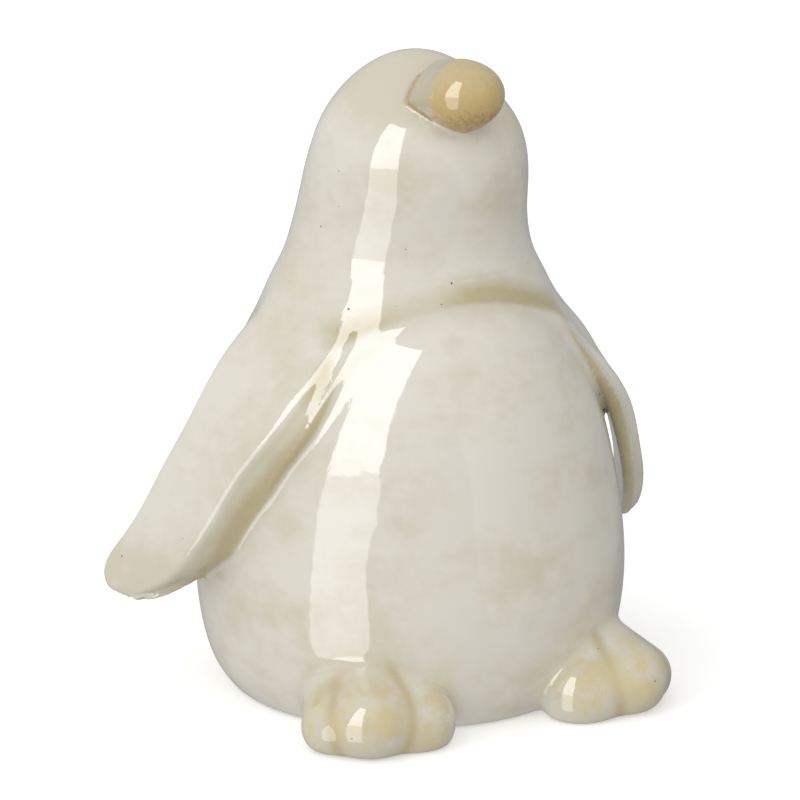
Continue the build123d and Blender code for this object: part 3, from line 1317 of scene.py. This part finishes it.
@dataclass
class Marks:
    """Where the glaze changes, and where shade is painted into it: numbers from 0 to 1 that each vertex
    carries for the material.

    Attributes:
        figure: The figure.
        bevel_start: Distance from the crease up to which the beige of the bib's edge, partly painted shade,
            is full.
        bevel_end: Distance at which it has faded.
        crease_width: Half width of a brown line of painted shade in a crease.
        stain_radius: Radius of the stain on a toe.
        crease_share: Strength of the painted shade in the bib's crease.
        foot_line_share: Strength of the painted shade round a foot.
        line_share: Strength of all brown lines of painted shade.
        bevel_gain: Strength of the beige on the bib's edge.
        least_bevel: What is left of it where the glaze lies thick.
        least_opening: Least sine of the angle in a crease.
        bare_x: Where the glaze lies thick on the bib's edge.
        bare_widths: Distances from there between which the beige comes back.
        front_depths: Where the bib's edge fades out towards the back.
        torso_margin: How much nearer to hood or flipper the beige is full.
        foot_reach: Distance from a foot at which the painted shade in its grooves fades.
        groove_width: Half width of the painted shade in the groove between two toes.
        groove_depths: How far in front the painted shade in the grooves comes in.
        stain_place: Middle of the stain from the tip's centre, in radii.
        crown_heights: Heights between which the glaze on the crown thins out.
        tip_heights: The same on the flippers' tips, as negative numbers.
        tip_distances: Distances from the body between which it does.
        speckle_distances: Distances from a crease between which specks come in.
        tip_speckle: How many times denser they are under the beak's tip.
        sole_heights: Heights between which the bare sole ends.
        beak_margins: How much nearer to the beak than to the head its colours come in.
        tongue_length: How far the ochre reaches back along the middle, as a share of the beak's length.
        tongue_height: Half the height of that tongue, as a share of the beak's.
        stain_slant: How much further back the ochre starts below.
        stain_start: Where it starts, as shares of the beak's length.
        ridge_start: Where the ochre line along the beak's edge starts.
        ridge_share: Strength of that line.
        outline_place: Distance of the brown outline from the beak's joint.
        outline_width: Its half width.
        outline_depths: Depths in the beak between which it ends.
        browner_heights: Heights, downwards, between which the ochre turns brown.
        browner_share: How much it does.
        pale_heights: Heights between which it turns paler.
        speckled_heights: Heights, downwards, between which it gets its specks.
    """

    figure: Figure
    bevel_start: float = 0.0018
    bevel_end: float = 0.0068
    crease_width: float = 0.0006
    stain_radius: float = 0.0070
    crease_share: float = 0.35
    foot_line_share: float = 0.6
    line_share: float = 0.9
    bevel_gain: float = 1.2
    least_bevel: float = 0.35
    least_opening: float = 0.15
    bare_x: float = -0.009
    bare_widths: tuple[float, float] = (0.002, 0.012)
    front_depths: tuple[float, float] = (0.004, 0.016)
    torso_margin: float = 0.0010
    foot_reach: float = 0.001
    groove_width: float = 0.0012
    groove_depths: tuple[float, float] = (0.024, 0.030)
    stain_place: tuple[float, float, float] = (0, -0.6, 0.3)
    crown_heights: tuple[float, float] = (0.099, 0.111)
    tip_heights: tuple[float, float] = (-0.040, -0.024)
    tip_distances: tuple[float, float] = (0.002, 0.006)
    speckle_distances: tuple[float, float] = (0.0008, 0.0020)
    tip_speckle: float = 14
    sole_heights: tuple[float, float] = (0.0001, 0.0007)
    beak_margins: tuple[float, float] = (0.0002, 0.0012)
    tongue_length: float = 0.17
    tongue_height: float = 0.6
    stain_slant: float = 0.30
    stain_start: tuple[float, float] = (0.50, 0.57)
    ridge_start: tuple[float, float] = (0.40, 0.60)
    ridge_share: float = 0.8
    outline_place: float = 0.0004
    outline_width: float = 0.0005
    outline_depths: tuple[float, float] = (-0.0012, -0.0006)
    browner_heights: tuple[float, float] = (0.0, 0.9)
    browner_share: float = 0.45
    pale_heights: tuple[float, float] = (-0.25, 0.55)
    speckled_heights: tuple[float, float] = (-0.1, 0.6)

    def opening(self, points: Array) -> Array:
        """Works out how steeply hood and flippers leave the belly.

        Args:
            points: The vertices' places.

        Returns:
            The sine of the angle between both, but at least a small one.
        """
        turns = []
        for axis in range(3):
            step = np.zeros(3)
            step[axis] = 0.0001
            ahead, behind = (self.figure.distances(*(points + sign * step).T) for sign in (1, -1))
            nearest = [np.minimum.reduce([near[member] for member in TORSO]) for near in (ahead, behind)]
            turns.append([ahead[Member.BELLY] - behind[Member.BELLY], nearest[0] - nearest[1]])
        turns = np.array(turns)
        turns /= np.maximum(np.linalg.norm(turns, axis=0), 1e-12)
        sine = np.linalg.norm(np.cross(turns[:, 0].T, turns[:, 1].T), axis=1)
        return np.clip(sine, self.least_opening, 1)

    def crease_marks(self, points: Array, near: dict[Member, Array]) -> dict[str, Array]:
        """Works out the beige along the bib's edge, partly painted shade, and the brown line of painted
        shade in its crease.

        Args:
            points: The vertices' places.
            near: Distance to each member.

        Returns:
            The marks bevel, crease and speckle.
        """
        x, y, _ = points.T
        belly = near[Member.BELLY]
        torso = np.minimum.reduce([near[member] for member in TORSO])
        feet = np.minimum(near[Member.LEFT_FOOT], near[Member.RIGHT_FOOT])
        # The beige band on the bib's edge is partly glaze breaking thin and partly painted shade in the
        # undercut where hood and flippers meet the belly.
        front = 1 - fade(y, *self.front_depths)
        on_torso = fade(belly - torso, 0.0, self.torso_margin)
        from_crease = belly / self.opening(points)
        band = 1 - fade(from_crease, self.bevel_start, self.bevel_end)
        lines = belly / self.crease_width
        # Painted shade: brown lines in the crease under hood and flippers and round the feet.
        crease = np.exp(-((lines / 2) ** 2) - (torso / self.crease_width / 2) ** 2) * self.crease_share
        foot_line = np.exp(-((lines / 1.6) ** 2) - (feet / self.crease_width / 1.6) ** 2)
        bare = self.least_bevel
        uneven = bare + (1 - bare) * fade(np.abs(x - self.bare_x), *self.bare_widths)
        return {
            "bevel": np.minimum(front * on_torso * band * uneven * self.bevel_gain, 1),
            "crease": np.maximum(crease * front, foot_line * self.foot_line_share),
            "speckle": fade(from_crease, *self.speckle_distances),
        }

    def foot_marks(self, points: Array, near: dict[Member, Array]) -> tuple[Array, Array]:
        """Works out the brown grooves of painted shade between the toes, and the yellow on top of them.

        Args:
            points: The vertices' places.
            near: Distance to each member.

        Returns:
            The strength of the grooves and of the yellow.
        """
        grooves = np.zeros(len(points))
        honey = np.zeros(len(points))
        for foot in self.figure.feet.values():
            mirrored = points * [foot.side.value, 1, 1]
            tips = foot.toes()
            own = np.stack([np.linalg.norm(mirrored - tip, axis=1) - radius for tip, radius in tips])
            own.sort(axis=0)
            member = Member.LEFT_FOOT if foot.side is Side.LEFT else Member.RIGHT_FOOT
            on_foot = np.exp(-((near[member] / self.foot_reach) ** 2))
            # Painted shade in the grooves between the toes.
            groove = np.exp(-(((own[1] - own[0]) / self.groove_width) ** 2))
            grooves += on_foot * groove * fade(-points[:, 1], *self.groove_depths)
            for tip, radius in tips:
                top = tip + np.array(self.stain_place) * radius
                away = np.linalg.norm(mirrored - top, axis=1)
                honey = np.maximum(honey, np.exp(-((away / self.stain_radius) ** 2)))
        return grooves, honey

    def beak_marks(self, points: Array, near: dict[Member, Array]) -> dict[str, Array]:
        """Works out the ochre tip, the grey flats and the brown outline of the beak.

        Args:
            points: The vertices' places.
            near: Distance to each member.

        Returns:
            The marks stain, burnt, pale, outline and facet, and tip for what lies on the ochre.
        """
        beak = near[Member.BEAK]
        ahead = near[Member.HOOD] - beak
        on_beak = fade(ahead, *self.beak_margins)
        along, above = self.figure.beak.local(points[:, 1], points[:, 2])
        height = above / self.figure.beak.half_height
        share = along / self.figure.beak.length
        tongue = self.tongue_length * np.maximum(1 - np.abs(height) / self.tongue_height, 0)
        slanted = share - tongue + self.stain_slant * np.clip(-height, 0, 1)
        bulb = fade(slanted, *self.stain_start)
        ridge = np.exp(-((above / self.crease_width) ** 2)) * fade(share, *self.ridge_start)
        outline = np.exp(-(((ahead - self.outline_place) / self.outline_width) ** 2))
        return {
            "stain": on_beak * np.maximum(bulb, self.ridge_share * ridge),
            "browner_below": on_beak * fade(-height, *self.browner_heights) * self.browner_share,
            "pale": on_beak * fade(height, *self.pale_heights),
            "outline": outline * fade(-beak, *self.outline_depths) * (1 - bulb),
            "facet": on_beak * (1 - bulb) * (1 - ridge),
            "tip": on_beak * bulb * fade(-height, *self.speckled_heights),
        }

    def at(self, points: Array) -> dict[str, Array]:
        """Works out every mark.

        Args:
            points: The vertices' places.

        Returns:
            Each mark's name and values.
        """
        z = points[:, 2]
        near = self.figure.distances(*points.T)
        creases = self.crease_marks(points, near)
        grooves, honey = self.foot_marks(points, near)
        beak = self.beak_marks(points, near)
        crown = fade(z, *self.crown_heights)
        off_body = np.minimum(near[Member.HOOD], near[Member.BELLY])
        tips = fade(-z, *self.tip_heights) * fade(off_body, *self.tip_distances)
        return {
            "bevel": creases["bevel"],
            # Painted shade in creases and between the toes.
            "crease": np.maximum(creases["crease"], grooves) * self.line_share,
            "honey": honey,
            "stain": beak["stain"],
            "browner_below": beak["browner_below"],
            "pale": beak["pale"],
            "outline": beak["outline"],
            "facet": beak["facet"],
            "thin": np.maximum(crown, tips),
            "speckle": creases["speckle"] + self.tip_speckle * beak["tip"],
            "sole": 1 - fade(z, *self.sole_heights),
        }


@dataclass
class Glazeware:
    """The glazed members as objects: belly, hood, flippers, beak and feet.

    Attributes:
        shells: The figure's surfaces.
    """

    shells: Shells

    def object(
        self, name: str, faces: Array, flat: Array | None, material: bpy.types.Material
    ) -> bpy.types.Object:
        """Builds one object from faces of the shells.

        Args:
            name: The object's name.
            faces: Its faces.
            flat: Which of them lie hidden against another member, and are shaded flat.
            material: Its material.

        Returns:
            The object.
        """
        used, corners = np.unique(faces, return_inverse=True)
        corners = corners.ravel()
        points = self.shells.points[used]
        mesh = bpy.data.meshes.new(name)
        mesh.vertices.add(len(used))
        mesh.vertices.foreach_set("co", points.ravel().astype(np.float32))
        mesh.loops.add(len(corners))
        mesh.loops.foreach_set("vertex_index", corners.astype(np.int32))
        mesh.polygons.add(len(faces))
        mesh.polygons.foreach_set("loop_start", np.arange(0, len(corners), 4, dtype=np.int32))
        mesh.update(calc_edges=True)
        mesh.polygons.foreach_set("use_smooth", np.ones(len(faces), bool))
        normals = self.shells.normals[used][corners]
        if flat is not None and flat.any():
            square = points[corners].reshape(-1, 4, 3)
            across = np.cross(square[:, 2] - square[:, 0], square[:, 3] - square[:, 1])
            across /= np.maximum(np.linalg.norm(across, axis=1), 1e-18)[:, None]
            normals.reshape(-1, 4, 3)[flat] = across[flat][:, None]
        mesh.normals_split_custom_set(normals)
        for mark, values in self.shells.marks.items():
            attribute = mesh.attributes.new(mark, "FLOAT", "POINT")
            attribute.data.foreach_set("value", values[used].astype(np.float32))
        mesh.materials.append(material)
        made = bpy.data.objects.new(name, mesh)
        bpy.context.scene.collection.objects.link(made)
        return made

    def build(self, material: bpy.types.Material) -> list[bpy.types.Object]:
        """Makes every member and lets it stand for its CAD node.

        Args:
            material: The glaze.

        Returns:
            The members' objects.
        """
        nodes = {
            Member.BELLY: "belly_shell",
            Member.HOOD: "head_shell",
            Member.LEFT_WING: "left_wing",
            Member.RIGHT_WING: "right_wing",
            Member.BEAK: "beak",
            Member.LEFT_FOOT: "left_foot",
            Member.RIGHT_FOOT: "right_foot",
        }
        made = []
        for member, node in nodes.items():
            faces, against = self.shells.of(member)
            piece = self.object("glazed_" + node, faces, against, material)
            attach(piece, "root")
            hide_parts(node)
            made.append(piece)
            log.info("%s: %d faces", piece.name, len(faces))
        return made


@dataclass
class Specks:
    """Iron specks scattered over the glaze by Geometry Nodes.

    Attributes:
        density: Specks to the square metre.
        smallest: Radius of the smallest.
        largest: Radius of the largest.
        height: How far a speck stands up, as a share of its radius.
        seed: Start of the random values.
    """

    density: float = 6000.0
    smallest: float = 0.00006
    largest: float = 0.00022
    height: float = 0.22
    seed: int = 11

    def tree(self) -> bpy.types.GeometryNodeTree:
        """Lays out the tree, with named inputs for its sizes.

        Returns:
            The tree.
        """
        group = bpy.data.node_groups.new("specks", "GeometryNodeTree")
        panel = group.interface
        panel.new_socket("Geometry", in_out="INPUT", socket_type="NodeSocketGeometry")
        for name in ("Density", "Smallest", "Largest", "Height"):
            panel.new_socket(name, in_out="INPUT", socket_type="NodeSocketFloat")
        panel.new_socket("Seed", in_out="INPUT", socket_type="NodeSocketInt")
        panel.new_socket("Material", in_out="INPUT", socket_type="NodeSocketMaterial")
        panel.new_socket("Geometry", in_out="OUTPUT", socket_type="NodeSocketGeometry")
        tree = Tree(group)
        given = tree.node("NodeGroupInput").outputs
        speckle = tree.node("GeometryNodeInputNamedAttribute", {"Name": "speckle"}, data_type="FLOAT")
        scatter = tree.node("GeometryNodeDistributePointsOnFaces", {
            "Mesh": given["Geometry"],
            "Density": tree.math("MULTIPLY", given["Density"], speckle.outputs[0]),
            "Seed": given["Seed"],
        })
        bead = tree.node("GeometryNodeMeshIcoSphere", {"Radius": 1.0, "Subdivisions": 2})
        skew = tree.node("FunctionNodeRandomValue", {"Seed": given["Seed"]}, data_type="FLOAT")
        cubed = tree.math("POWER", skew.outputs[1], 3.0)
        size = tree.math("MULTIPLY_ADD", cubed, tree.math("SUBTRACT", given["Largest"], given["Smallest"]))
        size.node.inputs[2].default_value = 0.0
        group.links.new(given["Smallest"], size.node.inputs[2])
        flat = tree.math("MULTIPLY", size, given["Height"])
        scale = tree.node("ShaderNodeCombineXYZ", {0: size, 1: size, 2: flat})
        beads = tree.node("GeometryNodeInstanceOnPoints", {
            "Points": scatter.outputs["Points"],
            "Instance": bead.outputs["Mesh"],
            "Rotation": scatter.outputs["Rotation"],
            "Scale": scale.outputs[0],
        })
        real = tree.node("GeometryNodeRealizeInstances", {"Geometry": beads.outputs[0]})
        dressed = tree.node("GeometryNodeSetMaterial", {
            "Geometry": real.outputs[0],
            "Material": given["Material"],
        })
        tree.node("NodeGroupOutput", {0: dressed.outputs[0]})
        return group

    def build(self, host: bpy.types.Object, material: bpy.types.Material) -> bpy.types.Object:
        """Scatters the specks over a surface.

        Args:
            host: The glazed skin, which is removed afterwards.
            material: The specks' material.

        Returns:
            The specks as one plain mesh.
        """
        modifier = host.modifiers.new("specks", "NODES")
        modifier.node_group = self.tree()
        values = {
            "Density": self.density,
            "Smallest": self.smallest,
            "Largest": self.largest,
            "Height": self.height,
            "Seed": self.seed,
            "Material": material,
        }
        for item in modifier.node_group.interface.items_tree:
            if item.in_out == "INPUT" and item.name in values:
                modifier[item.identifier] = values[item.name]
        graph = bpy.context.evaluated_depsgraph_get()
        mesh = bpy.data.meshes.new_from_object(host.evaluated_get(graph))
        mesh.name = "iron_specks"
        skin = host.data
        bpy.data.objects.remove(host)
        bpy.data.meshes.remove(skin)
        specks = bpy.data.objects.new("iron_specks", mesh)
        bpy.context.scene.collection.objects.link(specks)
        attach(specks, "root")
        log.info("iron_specks: %d faces", len(mesh.polygons))
        return specks


@dataclass
class Studio:
    """A pale sweep, one tall softbox to the left of the camera, and a white surround.

    Attributes:
        camera_place: Place of the camera.
        camera_aim: A point in the middle of the view.
        camera_azimuth: Direction of the camera from the figure, in degrees.
        camera_elevation: Its height above the level, in degrees.
        camera_pan: How far the aim lies to the right.
        camera_tilt: How far it lies up.
        camera_reach: How far ahead it lies, in the same measure.
        lens: Focal length in millimetres.
        box_azimuth: Direction of the softbox, in degrees.
        box_distance: Its distance.
        box_width: Its width.
        box_low: Height where its lit part starts.
        box_high: Height of its top.
        box_foot: Height of the foot of its dimmer part.
        box_radiance: How bright its lit part is in the glaze.
        foot_radiance: How bright its dimmer part is in the glaze.
        fill_radiance: How bright it is for the clay.
        floor_glow: Light of the floor itself.
        floor_size: Half the floor's width.
        surround: Even part of the surround's light, what it gains towards the softbox, and upwards.
    """

    camera_place: tuple[float, float, float] = (-0.3424, -0.6770, 0.2670)
    camera_azimuth: float = -27.0
    camera_elevation: float = 19.5
    camera_pan: float = -29.0
    camera_tilt: float = 281.8
    camera_reach: float = 4512.0
    lens: float = 203.6
    box_azimuth: float = -64.0
    box_distance: float = 1.0
    box_width: float = 0.57
    box_low: float = 0.14
    box_high: float = 1.75
    box_foot: float = -0.75
    box_radiance: float = 5.8
    foot_radiance: float = 2.8
    fill_radiance: float = 0.9
    floor_glow: float = 0.30
    floor_size: float = 6.0
    surround: tuple[float, float, float] = (0.74, 0.36, 0.27)

    def camera(self) -> None:
        """Sets up the camera at the photograph's angle."""
        azimuth = math.radians(self.camera_azimuth)
        elevation = math.radians(self.camera_elevation)
        back = Vector((
            math.sin(azimuth) * math.cos(elevation),
            -math.cos(azimuth) * math.cos(elevation),
            math.sin(elevation),
        ))
        right = Vector((math.cos(azimuth), math.sin(azimuth), 0))
        up = back.cross(right)
        aim = back * -self.camera_reach + right * self.camera_pan + up * self.camera_tilt
        camera = bpy.data.objects.new("camera", bpy.data.cameras.new("camera"))
        camera.data.lens = self.lens
        camera.data.sensor_width = 36
        camera.data.clip_start = 0.01
        camera.location = self.camera_place
        camera.rotation_euler = aim.to_track_quat("-Z", "Y").to_euler()
        bpy.context.scene.collection.objects.link(camera)
        bpy.context.scene.camera = camera

    def softbox(self, name: str, low: float, high: float, radiance: float, mirrored: bool) -> None:
        """Hangs one panel of light.

        Args:
            name: Its name.
            low: Height of its lower edge.
            high: Height of its upper edge.
            radiance: How bright it is.
            mirrored: Whether the glaze mirrors it. Otherwise it only lights the clay.
        """
        azimuth = math.radians(self.box_azimuth)
        light = bpy.data.lights.new(name, "AREA")
        light.shape = "RECTANGLE"
        light.size = self.box_width
        light.size_y = high - low
        light.energy = radiance * math.pi * light.size * light.size_y
        box = bpy.data.objects.new(name, light)
        middle = (low + high) / 2
        side = self.box_distance * math.sin(azimuth)
        box.location = (side, -self.box_distance * math.cos(azimuth), middle)
        aim = Vector((0, 0, middle)) - box.location
        box.rotation_euler = aim.to_track_quat("-Z", "Y").to_euler()
        box.visible_camera = False
        box.visible_diffuse = not mirrored
        box.visible_glossy = mirrored
        bpy.context.scene.collection.objects.link(box)

    def floor(self) -> None:
        """Lays the pale floor."""
        size = self.floor_size
        mesh = bpy.data.meshes.new("floor")
        corners = [(-size, -size, 0), (size, -size, 0), (size, size, 0), (-size, size, 0)]
        mesh.from_pydata(corners, [], [(0, 1, 2, 3)])
        material, tree = new_material("pale_floor")
        shader = tree.node("ShaderNodeBsdfPrincipled", {
            "Base Color": (0.9, 0.9, 0.9, 1),
            "Roughness": 0.9,
            "Emission Color": (1, 1, 1, 1),
            "Emission Strength": self.floor_glow,
        })
        tree.node("ShaderNodeOutputMaterial", {"Surface": shader.outputs[0]})
        mesh.materials.append(material)
        floor = bpy.data.objects.new("floor", mesh)
        floor.visible_glossy = False
        floor.visible_diffuse = False
        bpy.context.scene.collection.objects.link(floor)

    def world(self) -> None:
        """Surrounds the scene with white that is brighter towards the softbox and above."""
        world = bpy.data.worlds.new("surround")
        world.use_nodes = True
        world.node_tree.nodes.clear()
        tree = Tree(world.node_tree)
        azimuth = math.radians(self.box_azimuth)
        even, side, rise = self.surround
        way = (math.sin(azimuth) * side, -math.cos(azimuth) * side, rise)
        place = tree.node("ShaderNodeTexCoord").outputs["Generated"]
        dot = tree.node("ShaderNodeVectorMath", {0: place, 1: way}, operation="DOT_PRODUCT")
        lean = dot.outputs["Value"]
        seen = tree.node("ShaderNodeLightPath").outputs["Is Camera Ray"]
        strength = tree.math("MAXIMUM", tree.math("ADD", lean, even), seen)
        shade = tree.node("ShaderNodeBackground", {"Color": (1, 1, 1, 1), "Strength": strength})
        tree.node("ShaderNodeOutputWorld", {0: shade.outputs[0]})
        bpy.context.scene.world = world
        bpy.context.scene.view_settings.view_transform = "Standard"

    def build(self) -> None:
        """Sets up everything round the figure."""
        self.camera()
        self.softbox("softbox", self.box_low, self.box_high, self.box_radiance, True)
        self.softbox("softbox_foot", self.box_foot, self.box_low, self.foot_radiance, True)
        self.softbox("softbox_fill", self.box_low, self.box_high, self.fill_radiance, False)
        self.floor()
        self.world()


def main() -> None:
    """Builds the figure and the studio round it."""
    logging.basicConfig(level=logging.INFO, format="%(name)s: %(message)s")
    Studio().build()
    figure = Figure()
    shells = Caster(figure).cast()
    shells.marks = Marks(figure).at(shells.points)
    log.info("net: %d vertices", len(shells.points))
    ware = Glazeware(shells)
    ware.build(Glaze().material())
    speck = IronSpeck().material()
    skin = ware.object("skin", shells.skin(), None, speck)
    Specks().build(skin, speck)
    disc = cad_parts["base_disc"]
    clay = BareClay().material()
    for place in disc.material_slots:
        place.material = clay


if __name__ == "__main__":
    main()
